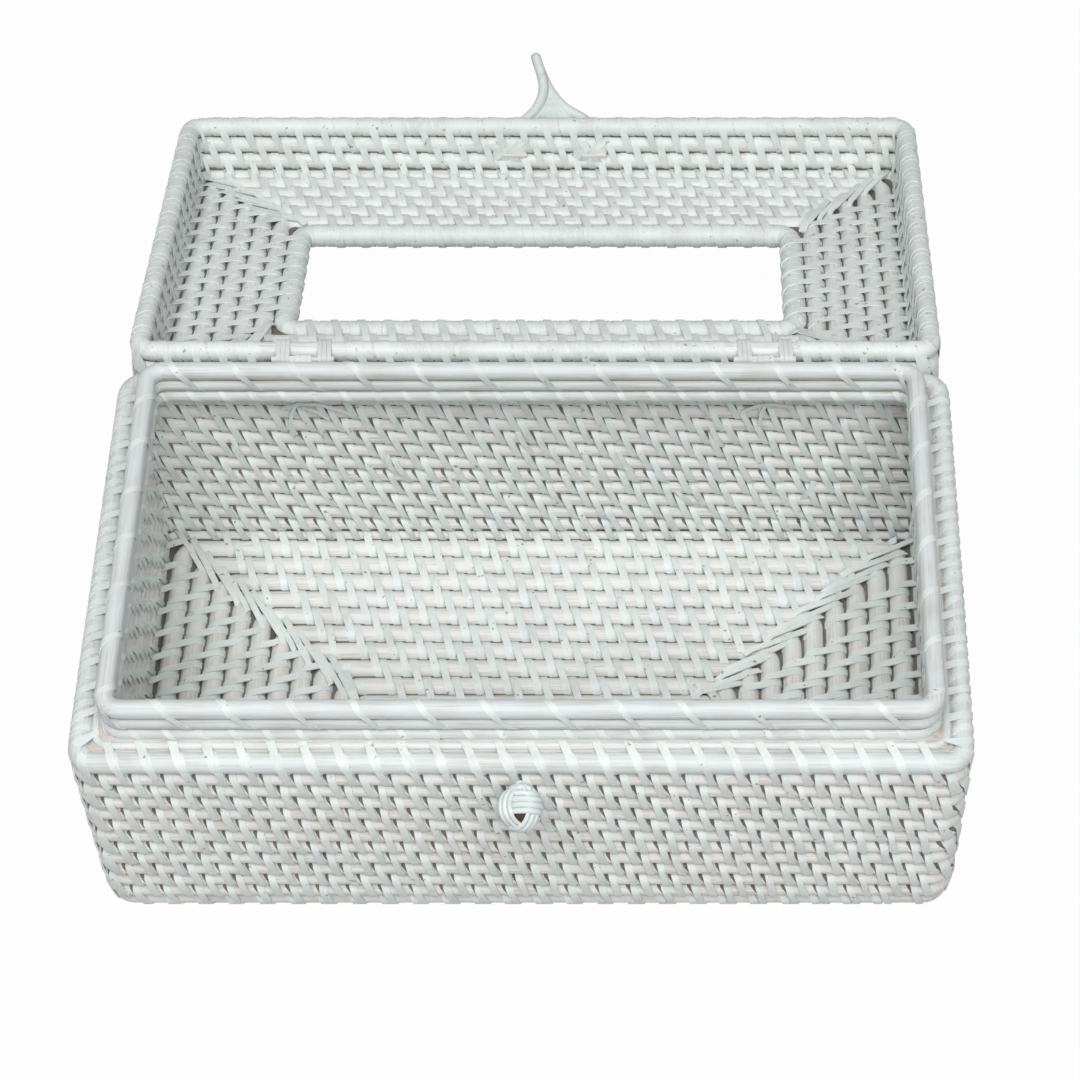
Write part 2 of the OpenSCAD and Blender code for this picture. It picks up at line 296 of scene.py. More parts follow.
def rod_paint(name, light, shade, rough=0.5, on_lid=False):
    paint = Paint(name)
    here = paint.node("ShaderNodeTexCoord", output="Object")
    if on_lid:
        # shuts the lid again, so that its streaks follow its own sides
        here = paint.node("ShaderNodeMapping", {"vector_type": "TEXTURE"},
                          {"Vector": here, "Location": PIN, "Rotation": (-OPEN, 0.0, 0.0)})
        here = paint.node("ShaderNodeVectorMath", {"operation": "SUBTRACT"},
                          {0: here, 1: (0.0, -PIN[1], 0.0)})
    parts = paint.node("ShaderNodeSeparateXYZ", {}, {0: here}).socket.node.outputs
    x_away, y_away = [abs(Val(paint, parts[axis])) for axis in ("X", "Y")]
    long_side = (y_away - RIM_Y * MM) > (x_away - RIM_X * MM)
    streaks = []
    for stretch_x, stretch_y in ((STREAK_ALONG, STREAK_ACROSS), (STREAK_ACROSS, STREAK_ALONG)):
        stretched = paint.node("ShaderNodeMapping", {}, {
            "Vector": here, "Scale": (stretch_x, stretch_y, STREAK_ACROSS)})
        streaks.append(paint.noise(stretched, 1.0, 3.0))
    along_x, along_y = streaks
    fibre = along_x * long_side + along_y * (1.0 - long_side)
    tone = fibre * 0.6 + paint.noise(here, ROD_BLOTCH, 4.0) * 0.4
    colour = paint.node("ShaderNodeValToRGB", {"stops": [
        (0.34, shade), (0.50, light), (0.68, lighter(light, 8))]}, {0: tone})
    bump = paint.node("ShaderNodeBump", {}, {"Strength": 0.4, "Distance": 0.3 * MM, "Height": fibre})
    paint.out(Base_Color=colour, Roughness=roughened(rough, fibre), Normal=bump)
    return paint.material


STRIP = strip_paint("washed_strip", (229, 235, 233), (214, 218, 215))
# dark paint for the webs deep in the gaps and the wedges beside the strips: bare cane with painted shade
DEEP = rod_paint("bare_cane_in_gaps", (110, 110, 104), (74, 73, 68), rough=0.7)
print("nodes in the strips' paint:", len(STRIP.node_tree.nodes), "and in a rod's:", len(DEEP.node_tree.nodes))

# %% [markdown]
# ## A spiral strip
# A maker carries one flat strip round two rods, steps along by a strip's pitch, and goes round
# again. So one turn is modelled once: a small flat face is extruded round the belt line of the two
# rods while it moves along them. An Array repeats the turn, a little Displace keeps the stitches
# from looking stamped, and a Curve modifier lays the straight spiral round the box's corners. Where
# a strip comes out over a wall rod, a dark wedge on the rod beside it is painted shadow, for the
# shaded opening that the strip leaves there.

# %% The line that a strip follows
BELT_CORNERS = 12
STEEP = 0.6  # a step that climbs this share of its length counts as one on a face of the wall


def belt_line(rods, off):
    """The taut line round some circles (y, z, radius), counterclockwise from the top."""
    dots = sorted({(round(y + (r + off) * math.cos(math.tau * k / BELT_CORNERS), 5),
                    round(z + (r + off) * math.sin(math.tau * k / BELT_CORNERS), 5))
                   for y, z, r in rods for k in range(BELT_CORNERS)})

    def half(some):
        line = []
        for dot in some:
            while len(line) > 1 and ((line[-1][0] - line[-2][0]) * (dot[1] - line[-2][1])
                                     - (line[-1][1] - line[-2][1]) * (dot[0] - line[-2][0])) <= 1e-7:
                line.pop()
            line.append(dot)
        return line[:-1]

    hull = half(dots) + half(dots[::-1])
    top = max(range(len(hull)), key=lambda i: hull[i][1])
    return hull[top:] + hull[:top]


def turn_path(line, lead, shares):
    """The steps of one turn, each (x, y, z, outward angle, length so far), and its whole length.

    Shares say how much of the lead lies on the face towards -Y, the one towards +Y and the rest.
    """
    count = len(line)
    steps = [math.dist(line[i], line[(i + 1) % count]) for i in range(count)]
    rises = [(line[(i + 1) % count][1] - line[i][1]) / steps[i] for i in range(count)]
    faces = [2 if abs(rise) < STEEP else (1 if rise > 0 else 0) for rise in rises]
    sums = [sum(step for step, face in zip(steps, faces) if face == kind) for kind in range(3)]
    total, gone, along, path = sum(steps), 0.0, 0.0, []
    for i in range(count + 1):
        before, here, after = line[(i - 1) % count], line[i % count], line[(i + 1) % count]
        out = math.atan2(-(after[0] - before[0]), after[1] - before[1])
        path.append((lead * along, here[0], here[1], out, gone))
        step, face = steps[i % count], faces[i % count]
        gone += step
        along += shares[face] * step / sums[face] if shares and all(sums) else step / total
    return path, total


# %% One turn of strip
# angles round the rod, and how far a wedge reaches beside the strip there
WEDGE = ((112, 1.25), (131, 1.05), (150, 0.75), (169, 0.4), (186, 0.1))
WEDGE_PROUD, WEDGE_UNDER = 0.15, 0.2


def nearest_step(at, path):
    """Which step of the path a corner of the mesh belongs to, by its place."""
    return min(range(len(path)), key=lambda i: (at.y / MM - path[i][1]) ** 2 + (at.z / MM - path[i][2]) ** 2
               + (0.2 * (at.x / MM - path[i][0])) ** 2)


def add_shadow_wedges(work, path, rod, width):
    """Two wedges of painted shadow over a rod, one on its face towards -Y and one towards +Y."""
    y, z, r = rod
    for side in (-1, 1):
        dots = []
        for angle, wide in WEDGE:
            turned = math.radians(angle if side < 0 else 180 - angle)
            place = (y + (r + WEDGE_PROUD) * math.cos(turned), z + (r + WEDGE_PROUD) * math.sin(turned))
            i = min(range(1, len(path) - 1), key=lambda i: math.dist(place, path[i][1:3]))
            edge = path[i][0] + side * (width / 2 - WEDGE_UNDER)
            for x in (edge, edge + side * (wide + WEDGE_UNDER)):
                dots.append(work.verts.new(metres((x, *place))))
        for face in bmesh.ops.convex_hull(work, input=dots)["geom"]:
            if isinstance(face, bmesh.types.BMFace):
                # slot 1 holds the dark paint: the wedge is painted shadow
                face.material_index = 1


def strip_turn(name, rods, lead, width, thick, lift=0.05, shares=None):
    """One turn of strip round one or two rods, and the length of strip that it takes."""
    path, total = turn_path(belt_line(rods, lift + thick / 2), lead, shares)
    deselect()
    bpy.ops.mesh.primitive_plane_add(size=1.0, enter_editmode=True)
    piece = bpy.context.active_object
    piece.name = piece.data.name = name
    bpy.ops.transform.resize(value=(width * MM, thick * MM, 1.0), center_override=(0, 0, 0))
    bpy.ops.transform.translate(value=metres(path[0][:3]))
    spin_selected(path[0][3], "X", metres(path[0][:3]))
    for last, now in zip(path, path[1:]):
        pull(last[:3], now[:3])
        spin_selected((now[3] - last[3] + math.pi) % math.tau - math.pi, "X", metres(now[:3]))
    bpy.ops.object.mode_set(mode="OBJECT")
    mesh = piece.data
    near = [nearest_step(vert.co, path) for vert in mesh.vertices]
    work = bmesh.new()
    work.from_mesh(mesh)
    caps = [f for f in work.faces if len({near[v.index] for v in f.verts}) == 1]
    bmesh.ops.delete(work, geom=caps, context="FACES_ONLY")
    layer = work.loops.layers.uv.verify()
    for face in work.faces:
        for corner in face.loops:
            i = near[corner.vert.index]
            side = 1.0 if corner.vert.co.x / MM > path[i][0] else 0.0
            corner[layer].uv = (side, path[i][4] / UV_MM)
    if shares and rods[0][2] == rods[1][2]:
        add_shadow_wedges(work, path, rods[1], width)
    bmesh.ops.recalc_face_normals(work, faces=work.faces)
    work.to_mesh(mesh)
    work.free()
    # slot 1 gets the dark paint of the painted-shadow wedges
    for paint in (STRIP, DEEP):
        mesh.materials.append(paint)
    return piece, total


# %% Repeating a turn, and making it uneven
CLOUD, CLOUD_STEP = 0.006, 0.0013


def repeat(piece, turns, lead, v_step=0.0):
    """Repeats a turn along X. From one to the next, the fibres move on by v_step."""
    only(piece)
    rows = piece.modifiers.new("turns", "ARRAY")
    rows.count = turns
    rows.use_relative_offset = False
    rows.use_constant_offset = True
    rows.constant_offset_displace = (lead * MM, 0.0, 0.0)
    rows.use_merge_vertices = True
    rows.merge_threshold = 0.02 * MM
    rows.offset_v = v_step
    bpy.ops.object.modifier_apply(modifier="turns")


def unsettle(piece, wander):
    """Moves the stitches along by up to the given amount. The piece's name chooses its own noise."""
    noise = bpy.data.textures.new(piece.name + "_wander", "CLOUDS")
    noise.noise_scale = CLOUD + CLOUD_STEP * (sum(map(ord, piece.name)) % 7)
    uneven = piece.modifiers.new("uneven", "DISPLACE")
    uneven.texture = noise
    uneven.direction = "X"
    uneven.strength = 2 * wander * MM
    bpy.ops.object.modifier_apply(modifier="uneven")


# %% Winding a whole ring
def ring_path(half_x, half_y):
    """A closed curve round the box, counterclockwise from above, and its length."""

    def places():
        return [point.co for point in path.data.splines[0].points]

    deselect()
    bpy.ops.mesh.primitive_plane_add(size=1.0, enter_editmode=True)
    bpy.ops.transform.resize(value=(2 * half_x * MM, 2 * half_y * MM, 1.0), center_override=(0, 0, 0))
    bpy.ops.mesh.bevel(offset=CORNER * MM, segments=6, affect="VERTICES", profile=0.5)
    bpy.ops.mesh.select_all(action="SELECT")
    bpy.ops.mesh.delete(type="ONLY_FACE")
    bpy.ops.object.mode_set(mode="OBJECT")
    bpy.ops.object.convert(target="CURVE")
    path = bpy.context.active_object
    dots = places()
    if sum(a.x * b.y - b.x * a.y for a, b in zip(dots, dots[1:] + dots[:1])) < 0:
        bpy.ops.object.mode_set(mode="EDIT")
        bpy.ops.curve.select_all(action="SELECT")
        bpy.ops.curve.switch_direction()
        bpy.ops.object.mode_set(mode="OBJECT")
        dots = places()
    path.data.splines[0].use_cyclic_u = True
    return path, sum((a - b).length for a, b in zip(dots, dots[1:] + dots[:1])) / MM


def wind(name, rods, lead, width, thick, lift=0.05, wander=0.9, phase=0.0, shares=None):
    """Winds a spiral strip round the rods of one or two rings, each (inset, z, radius)."""
    middle = sum(rod[0] for rod in rods) / len(rods)
    path, length = ring_path(RIM_X - middle, RIM_Y - middle)
    turns = round(length / lead)
    lead = length / turns
    around = [(inset - middle, z, r) for inset, z, r in rods]
    piece, total = strip_turn(name, around, lead, width, thick, lift, shares)
    repeat(piece, turns, lead, total / UV_MM % 1.0)
    unsettle(piece, wander)
    if phase:
        edit_all()
        bpy.ops.transform.translate(value=(phase * lead * MM, 0.0, 0.0))
        bpy.ops.object.mode_set(mode="OBJECT")
    bend = piece.modifiers.new("round", "CURVE")
    bend.object = path
    bend.deform_axis = "POS_X"
    bpy.ops.object.modifier_apply(modifier="round")
    bpy.data.objects.remove(path)
    edit_all()
    bpy.ops.mesh.fill_holes(sides=4)
    bpy.ops.object.mode_set(mode="OBJECT")
    bpy.ops.object.shade_smooth_by_angle(angle=SMOOTH)
    return piece


# %% Winding flat rings, a side at a time
LAY_WANDER = 0.7


def lay(name, rods, lead, width, thick, shift, lift=0.05, short=0.0):
    """Winds the four straight sides of a flat pair of rings, with the stitches set from the middle."""
    middle = sum(rod[0] for rod in rods) / len(rods)
    around = [(inset - middle, z, r) for inset, z, r in rods]
    runs = []
    for side in range(4):
        half, away = (RIM_X, RIM_Y) if side % 2 == 0 else (RIM_Y, RIM_X)
        half, away = half - middle - short, away - middle
        before = math.floor(half / lead + shift)
        turns = before + math.floor(half / lead - shift)
        if turns < 1:
            continue  # too short for a single stitch
        piece, total = strip_turn("%s_%d" % (name, side), around, lead, width, thick, lift)
        repeat(piece, turns, lead, total / UV_MM % 1.0)
        unsettle(piece, LAY_WANDER)
        edit_all()
        bpy.ops.transform.translate(value=((-lead * before + shift * lead) * MM, -away * MM, 0.0))
        spin_selected(side * math.pi / 2, "Z", (0.0, 0.0, 0.0))
        bpy.ops.mesh.fill_holes(sides=4)
        bpy.ops.object.mode_set(mode="OBJECT")
        runs.append(piece)
    return join(name, runs)


# %% [markdown]
# ## Making room, and opening the lid
# The lid's pieces are wound as if it were shut, because its sides then run along X and Y, and they
# are turned about the hinge pins afterwards. Where a hinge is tied to a rod, the strip that binds
# the rod stops on both sides of it.

# %% Cut and turn
HINGE_ROOM = 10.6
REAR_Y = 60.0


def cut_for_hinges(piece):
    """Takes out the strip where the hinge lashings sit on the same rod."""
    work = bmesh.new()
    work.from_mesh(piece.data)
    gone = [v for v in work.verts if v.co.y > REAR_Y * MM and abs(abs(v.co.x) / MM - HINGE_X) < HINGE_ROOM]
    bmesh.ops.delete(work, geom=gone, context="VERTS")
    bmesh.ops.holes_fill(work, edges=[e for e in work.edges if e.is_boundary], sides=4)
    work.to_mesh(piece.data)
    work.free()


def open_lid(piece):
    """Turns a piece that was made for the shut lid to where the open lid lies."""
    only(piece)
    edit_all()
    spin_selected(-OPEN, "X", PIN)
    bpy.ops.object.mode_set(mode="OBJECT")


# %% [markdown]
# ## Winding the base, the floor and the lid
# Every strip ties two rods, so each rod is crossed by two strips, one from above and one from
# below, and the next row is set half a pitch on. That gives the slanted basket pattern. Strips that
# meet where the lid shuts on the base are thinner, and the lashings of the collar lie far apart.

# %% The base wall
STITCH, STRIP_W, STRIP_T, THIN_T = 10.0, 2.4, 0.42, 0.3
WALL_SHARES = (0.28, 0.47, 0.25)
wound_base, wound_lid = [], []
for k in range(WALL_COUNT - 1):
    wound_base.append(wind("base_wall_strip_%02d" % (k + 1), [WALL[k], WALL[k + 1]], STITCH, STRIP_W, STRIP_T,
                           phase=0.5 * (k % 2), shares=WALL_SHARES, lift=0.05 + 0.09 * (k % 2)))
wound_base.append(wind("base_wall_strip_12", [WALL[11], RIM], STITCH, STRIP_W, THIN_T, lift=0.0, phase=0.5,
                       shares=WALL_SHARES))
wound_base.append(wind("base_rim_strip", [RIM, SEAT], STITCH, 2.8, THIN_T, wander=0.6))
for piece in wound_base[-2:]:
    cut_for_hinges(piece)
print("base wall strips:", len(wound_base))

# %% The floor
FLAT_W = 2.7
for k in range(10):
    wound_base.append(lay("floor_strip_%02d" % (k + 1), [FLOOR[k], FLOOR[k + 1]], STITCH, FLAT_W, STRIP_T,
                          0.5 * (k % 2), short=2.0))
print("base strips with the floor's:", len(wound_base))

# %% The collar
wound_base.append(wind("collar_lashing", COLLAR[1:], 20.3, 2.5, 0.22, lift=0.0, wander=1.6))
wound_base.append(wind("collar_low_strip", COLLAR[:1], 10.3, 2.2, 0.25, lift=0.0, wander=1.0))
print("faces of the collar's lashing:", len(wound_base[-2].data.polygons))

# %% The lid
LID_STITCH = 9.4
for k, lift in enumerate((0.14, 0.03)):
    wound_lid.append(wind("lid_wall_strip_%d" % (k + 1), [LID_WALL[k], LID_WALL[k + 1]], LID_STITCH, FLAT_W,
                          THIN_T, lift=lift, phase=0.5 * k))
cut_for_hinges(wound_lid[0])
wound_lid.append(wind("lid_edge_strip", [LID_WALL[2], LID_TOP[0]], LID_STITCH, FLAT_W, STRIP_T))
for k in range(5):
    wound_lid.append(lay("lid_top_strip_%d" % (k + 1), [LID_TOP[k], LID_TOP[k + 1]], LID_STITCH, FLAT_W,
                         STRIP_T, 0.5 * ((k + 1) % 2), short=1.5))
wound_lid.append(lay("lid_top_strip_6", [LID_TOP[5], SLOT], LID_STITCH, FLAT_W, STRIP_T, 0.0,
                     lift=0.3, short=1.0))
rim_wrap = wind("lid_rim_wrap", [LID_WALL[0]], 4.7, 3.7, 0.22, wander=0.5, lift=0.02)
cut_for_hinges(rim_wrap)
wound_lid.append(rim_wrap)
wound_lid.append(wind("slot_wrap", [SLOT], 3.7, 3.2, 0.28, wander=0.4))
for piece in wound_lid:
    open_lid(piece)
print("lid strips:", len(wound_lid))

# %% [markdown]
# ## Straps over the mitres
# On the floor and on the lid's top the courses turn sharply, and a gap opens on each diagonal. The
# maker covers it with short slanted straps, laid over one another like shingles all the way in. A
# strap is one small face pulled through a few points. One diagonal is modelled once, and its copies
# are turned to the other corners.

# %% A loose strap


def strap(name, points, across, up, width, thick):
    """A loose flat strip, pulled from one small face through a list of points."""
    forward = Vector(across).cross(Vector(up)).normalized()
    turn = Matrix((Vector(across).normalized(), Vector(up).normalized(), forward)).transposed()
    deselect()
    bpy.ops.mesh.primitive_plane_add(size=1.0, location=metres(points[0]), rotation=turn.to_euler())
    piece = bpy.context.active_object
    piece.name = piece.data.name = name
    piece.scale = (width * MM, thick * MM, 1.0)
    bpy.ops.object.transform_apply(location=True, rotation=True, scale=True)
    edit_all()
    for last, now in zip(points, points[1:]):
        pull(last, now)
    bpy.ops.mesh.select_all(action="SELECT")
    bpy.ops.mesh.normals_make_consistent(inside=False)
    bpy.ops.object.mode_set(mode="OBJECT")
    layer = piece.data.uv_layers.active
    run = (Vector(points[-1]) - Vector(points[0])).normalized()
    for corner in piece.data.loops:
        at = piece.data.vertices[corner.vertex_index].co / MM - Vector(points[0])
        layer.data[corner.index].uv = (at.dot(Vector(across)) / width + 0.5, at.dot(run) / UV_MM)
    return piece


# %% The diagonals
ALONG_X, ALONG_Y, UPRIGHT = (1, 0, 0), (0, 1, 0), (0, 0, 1)
STRAP_STEP, STRAP_LONG, STRAP_T, STRAP_HALF = 7.6, 22.0, 0.5, 3.1
FIRST_BEFORE, LAST_BEFORE, PAST_END = 9.0, 8.0, 3.0


def mitre(near, far, top, way):
    """Straps along +X from one inset to the other, laid like shingles across the diagonal.

    They differ a little in place, length, slant and width. Way is how far each climbs over the one
    before, upwards from top, or downwards where it is negative.
    """
    made, at, j = [], near * math.sqrt(2) - FIRST_BEFORE, 0
    while at < far * math.sqrt(2) - LAST_BEFORE:
        end = min(at + STRAP_LONG + 2.0 * (j % 3), far * math.sqrt(2) + PAST_END)
        wide = STRAP_HALF + 0.6 * (j * 5 % 3)
        points = [(at, wide, top - way * 0.7), (at + 2.0, wide * 0.85, top + way * 0.1),
                  ((at + end) / 2, 0.2, top + way * 0.55),
                  (end - 2.5, -wide * 0.75, top + way * 1.0), (end, -wide, top - way * 0.5)]
        made.append(strap("strap", points, ALONG_Y, UPRIGHT, 1.95 + 0.2 * (j * 2 % 3), STRAP_T))
        at, j = at + STRAP_STEP + 0.6 * (j * 7 % 3), j + 1
    return join("one_mitre", made)


def to_corners(first, name):
    """Four copies of a diagonal, one for each corner of the box, joined as one piece."""
    copies = []
    for side_x, side_y in ((1, 1), (-1, 1), (-1, -1), (1, -1)):
        copy = first.copy()
        copy.data = first.data.copy()
        bpy.context.scene.collection.objects.link(copy)
        copy.data.transform(Matrix.Translation((side_x * RIM_X * MM, side_y * RIM_Y * MM, 0.0))
                            @ Matrix.Rotation(math.atan2(-side_y, -side_x), 4, "Z"))
        copies.append(copy)
    bpy.data.objects.remove(first)
    return join(name, copies)


wound_base.append(to_corners(mitre(11.6, 78.0, 2 * FLOOR_R, 1.0), "floor_mitre_straps"))
for name, level, way in (("lid_mitre_straps", LID_TOP_Z - LID_R, -1.0),
                         ("lid_outer_mitre_straps", LID_TOP_Z + LID_R, 0.8)):
    wound_lid.append(to_corners(mitre(11.2, 43.0, level, way), name))
    open_lid(wound_lid[-1])
print("mitres:", [len(piece.data.polygons) for piece in (wound_base[-1], wound_lid[-1])], "faces")

# %% [markdown]
# ## Hinges, knots and loose ends
# Each hinge is a short cane pin tied on with a few turns of strip, so the plain rings of the model
# are replaced by wound ones. Strip ends that the maker left show inside the rear wall and inside
# the lid, where the loop is knotted.

# %% Hinge lashings
TIE_COVER = 0.96
BASE_TIE_LONG, LID_TIE_LONG = 7.6, 4.6


def tie(rods, start, length, turns, thick):
    """A few turns of strip, nearly edge to edge, from start along X."""
    lead = length / turns
    piece, _ = strip_turn("tie", rods, lead, lead * TIE_COVER, thick)
    repeat(piece, turns, lead)
    edit_all()
    bpy.ops.transform.translate(value=((start + lead * 0.25) * MM, 0.0, 0.0))
    bpy.ops.mesh.fill_holes(sides=4)
    bpy.ops.object.mode_set(mode="OBJECT")
    return piece


base_rods = [(RIM_Y, RIM_Z, RIM[2]), (*PIN_YZ, 1.5)]
lid_rods = [(RIM_Y - LID_WALL[0][0], LID_RIM_Z, LID_R), (*PIN_YZ, 1.2)]
for side, x in (("left", -HINGE_X), ("right", HINGE_X)):
    base_tie = join("base_tie_" + side, [tie(base_rods, x - 4, BASE_TIE_LONG, 4, 0.27)])
    wound_base.append(base_tie)
    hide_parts("hinge_lashing_" + side)
    lid_tie = join("lid_tie_" + side,
                   [tie(lid_rods, x + start, LID_TIE_LONG, 3, 0.7) for start in (-9.5, 4.5)])
    open_lid(lid_tie)
    wound_lid.append(lid_tie)
    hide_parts("lid_lashing_" + side)
    print(side, "hinge ties:", len(base_tie.data.polygons), "and", len(lid_tie.data.polygons), "faces")

# %% Tails on the rear wall
INWARDS = (0, -1, 0)
TAIL_T = 0.35


def tail(points, across, width):
    return strap("tail", points, across, INWARDS, width, TAIL_T)


tails = [
    tail([(-86, 75.3, 71), (-80, 74.2, 74.6), (-73, 73.7, 75.0), (-66, 74.2, 71.5), (-62, 75.0, 68.0)],
         UPRIGHT, 1.5),
    tail([(-80, 74.9, 75), (-82.5, 74.3, 70), (-83.6, 74.0, 64), (-83.0, 74.8, 58)], ALONG_X, 1.3),
    tail([(-79, 75, 72), (-74, 74.2, 70.5), (-70, 74.8, 66)], UPRIGHT, 1.4),
    tail([(70, 75.1, 69.5), (76, 74.2, 74), (81, 74.0, 74.6), (88, 74.9, 72)], UPRIGHT, 1.5),
    tail([(79, 74.9, 75), (77, 74.3, 70), (76.5, 74.8, 63)], ALONG_X, 1.3)]
for x, z, lean, lift in ((28, 49, 5, 1.0), (15, 43, 4.5, 0.7), (47, 30, 9, 0.9), (-52, 47, 3, 1.1),
                         (-104, 55, 2.5, 1.0), (-6, 59, 4, 0.8), (96, 33, -4, 1.0), (60, 62, 4, 0.8)):
    hanging = [(x, 75.4, z), (x + lean * 0.4, 75.2 - lift, z - 4.5), (x + lean, 75.3, z - 10.5)]
    tails.append(tail(hanging, ALONG_X, 1.9))
wound_base.append(join("loose_strip_ends", tails))
print("loose ends:", len(tails))

# %% Knots of the loop, inside the lid
KNOT_ENDS_Y, KNOT_T = -74.3, 0.3
KNOT_STRAPS = (
    (-73.56, ((-6.5, 97.8), (-5, 97.6), (4.5, 95.4), (6, 95.2)), UPRIGHT, 4.2),
    (-73.5, ((-4, 90.8), (-3.5, 91.8), (2.5, 100.6), (3, 101.4)), ALONG_X, 3.8),
    (-73.46, ((5, 91.2), (4.5, 92.2), (-3, 100), (-3.5, 100.8)), ALONG_X, 3.4))
knots = []
for x in (-14.5, 16.0):
    for y, run, across, width in KNOT_STRAPS:
        depths = (KNOT_ENDS_Y, y, y, KNOT_ENDS_Y)
        points = [(x + beside, depth, z) for (beside, z), depth in zip(run, depths)]
        knots.append(strap("knot", points, across, ALONG_Y, width, KNOT_T))
wound_lid.append(join("loop_knots", knots))
open_lid(wound_lid[-1])
print("straps in the two knots:", len(knots))

# %% [markdown]
# ## The button
# The button is a small ball plaited from three bands of strands, one of five and two of three.
# Bands of elliptical rings at right angles, each larger where it passes over its neighbour, give
# the over and under by themselves. One of the eight holes between them faces the camera, a little
# below the middle, and a dark core shows in it.

# %% Three bands of strands
BALL = Vector((0.0, -90.95, 73.3))
BALL_R, STRAND_R, LANE, CORE_R = 6.55, 0.72, 1.85, 5.7
OVER_UNDER = (1.06, 0.93, 1.28)
HOLE_NEAR, HOLE_DOWN = 0.90, 0.436
to_camera = (Vector(CAMERA_AT) / MM - BALL).normalized()
up = Vector((0.0, math.cos(math.pi / 2 - PITCH), math.sin(math.pi / 2 - PITCH)))
up = (up - to_camera * up.dot(to_camera)).normalized()
hole = (to_camera * HOLE_NEAR - up * HOLE_DOWN).normalized()
down = (-up - hole * (-up).dot(hole)).normalized()
axes = []
for k in range(3):
    way = Matrix.Rotation(math.tau * k / 3, 3, hole) @ down
    axes.append((hole / math.sqrt(3) + way * math.sqrt(2 / 3)).normalized())
strands = []
for k, lanes in enumerate((range(-3, 2), range(-1, 2), range(-1, 2))):
    axis, over = axes[k], axes[(k + 1) % 3]
    turn = Matrix((over, axis.cross(over), axis)).transposed().to_4x4()
    for lane in lanes:
        off = lane * LANE
        deselect()
        bpy.ops.mesh.primitive_torus_add(major_radius=math.sqrt(BALL_R ** 2 - off ** 2) * MM,
                                         minor_radius=STRAND_R * MM, major_segments=40, minor_segments=8)
        strand = bpy.context.active_object
        strand.scale = OVER_UNDER
        bpy.ops.object.transform_apply(scale=True)
        strand.data.transform(Matrix.Translation((BALL + axis * off) * MM) @ turn)
        strands.append(strand)
ball = join("plaited_button", strands)
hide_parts("button_knot")
print("strands in the button:", len(strands))

# %% The dark core
deselect()
bpy.ops.mesh.primitive_uv_sphere_add(segments=24, ring_count=14, radius=CORE_R * MM, location=BALL * MM)
core = bpy.context.active_object
core.name = core.data.name = "button_core"
bpy.ops.object.transform_apply(location=True)
bpy.ops.object.shade_smooth_by_angle(angle=SMOOTH)
print("core:", len(core.data.polygons), "faces")

# %% [markdown]
# ## The loop
# Two strands leave the lid apart, run together and stand up one behind the other, so that from
# the front the loop is as narrow as one strand. A fan of thinner strands fills it at its foot. Each
# strand is a curve with a round bevel, which is the easiest way to bend cane by hand.

# %% Two strands and a fan
LOOP_ROOT = Vector((0.0, 240.466, 35.894))
LOOP_WAY = Vector((0.0, 0.8988, 0.4386))
LOOP_DEEP = Vector((0.0, -0.4386, 0.8988))
MAIN_THICK, FAN_THICK = 3.8, 3.4


def loop_strand(dots, thick):
    """A round strand with closed ends, through points (x, way along the loop, depth, fatness)."""
    data = bpy.data.curves.new("strand", "CURVE")
    data.dimensions = "3D"
    line = data.splines.new("NURBS")
    line.points.add(len(dots) - 1)
    for point, (x, along, deep, fat) in zip(line.points, dots):
        place = LOOP_ROOT + Vector((x, 0.0, 0.0)) + LOOP_WAY * along + LOOP_DEEP * deep
        point.co = (*(place * MM), 1.0)
        point.radius = fat
    line.use_endpoint_u = True
    line.order_u = 4
    line.resolution_u = 6
    data.bevel_depth = thick / 2 * MM
    data.bevel_resolution = 3
    data.use_fill_caps = True
    piece = bpy.data.objects.new("strand", data)
    bpy.context.scene.collection.objects.link(piece)
    only(piece)
    bpy.ops.object.convert(target="MESH")
    return bpy.context.active_object


left = [(-14.0, -0.4, 0.0, 0.5), (-12.4, 5.0, 0.3, 0.95), (-9.8, 10.2, 0.6, 1.0), (-6.0, 12.6, 0.8, 1.0),
        (-3.7, 16.5, 1.0, 1.05), (-2.2, 20.7, 1.2, 1.05), (-2.1, 24.6, 1.3, 1.0), (-3.1, 28.5, 1.3, 1.0),
        (-4.3, 32.4, 1.2, 1.0), (-5.1, 35.0, 0.8, 1.0), (-5.4, 36.2, 0.0, 0.95)]
right = [(19.0, -0.4, 0.0, 0.5), (18.0, 5.0, -0.2, 0.95), (15.0, 10.6, -0.4, 1.0), (9.6, 12.9, -0.6, 1.05),
         (4.4, 16.7, -0.8, 1.05), (1.5, 20.7, -1.0, 1.05), (-0.9, 24.6, -1.2, 1.0), (-2.6, 28.5, -1.3, 1.0),
         (-4.1, 32.4, -1.2, 1.0), (-5.1, 35.0, -0.8, 1.0), (-5.4, 36.2, 0.0, 0.95)]
fan = [[(x, -0.4, -0.2, 0.5), (x * 0.85, 6.0, -0.3, 1.0), (0.3 + x * 0.5, 13.0, -0.3, 1.0),
        (0.2 + x * 0.22, 17.5, -0.2, 0.85), (-0.8, 23.0, 0.0, 0.5)]
       for x in (-8.5, -4.4, -0.4, 3.6, 7.6, 11.6)]
loop = join("plaited_loop", [loop_strand(dots, MAIN_THICK) for dots in (left, right)]
            + [loop_strand(dots, FAN_THICK) for dots in fan])
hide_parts("closure_loop")
print("loop:", len(loop.data.polygons), "faces")

# %% [markdown]
# ## Dark webs in the gaps
# Between two courses the eye looks past the strips into a dark hollow. Light would find its way
# through the narrow gaps here, so a thin dark sheet closes each of them deep inside. It runs from
# the middle of one ring to the middle of the next, where the rods hide its edges. Its colour is
# painted shade over bare cane: dark under the base's and the lid's strips, paler under the collar.

# %% One web, and all of them
CORE_CORNER = 1.5
WEB_DEEP, THIN_WEB, COLLAR_WEB = 2.0, 0.8, 2.6


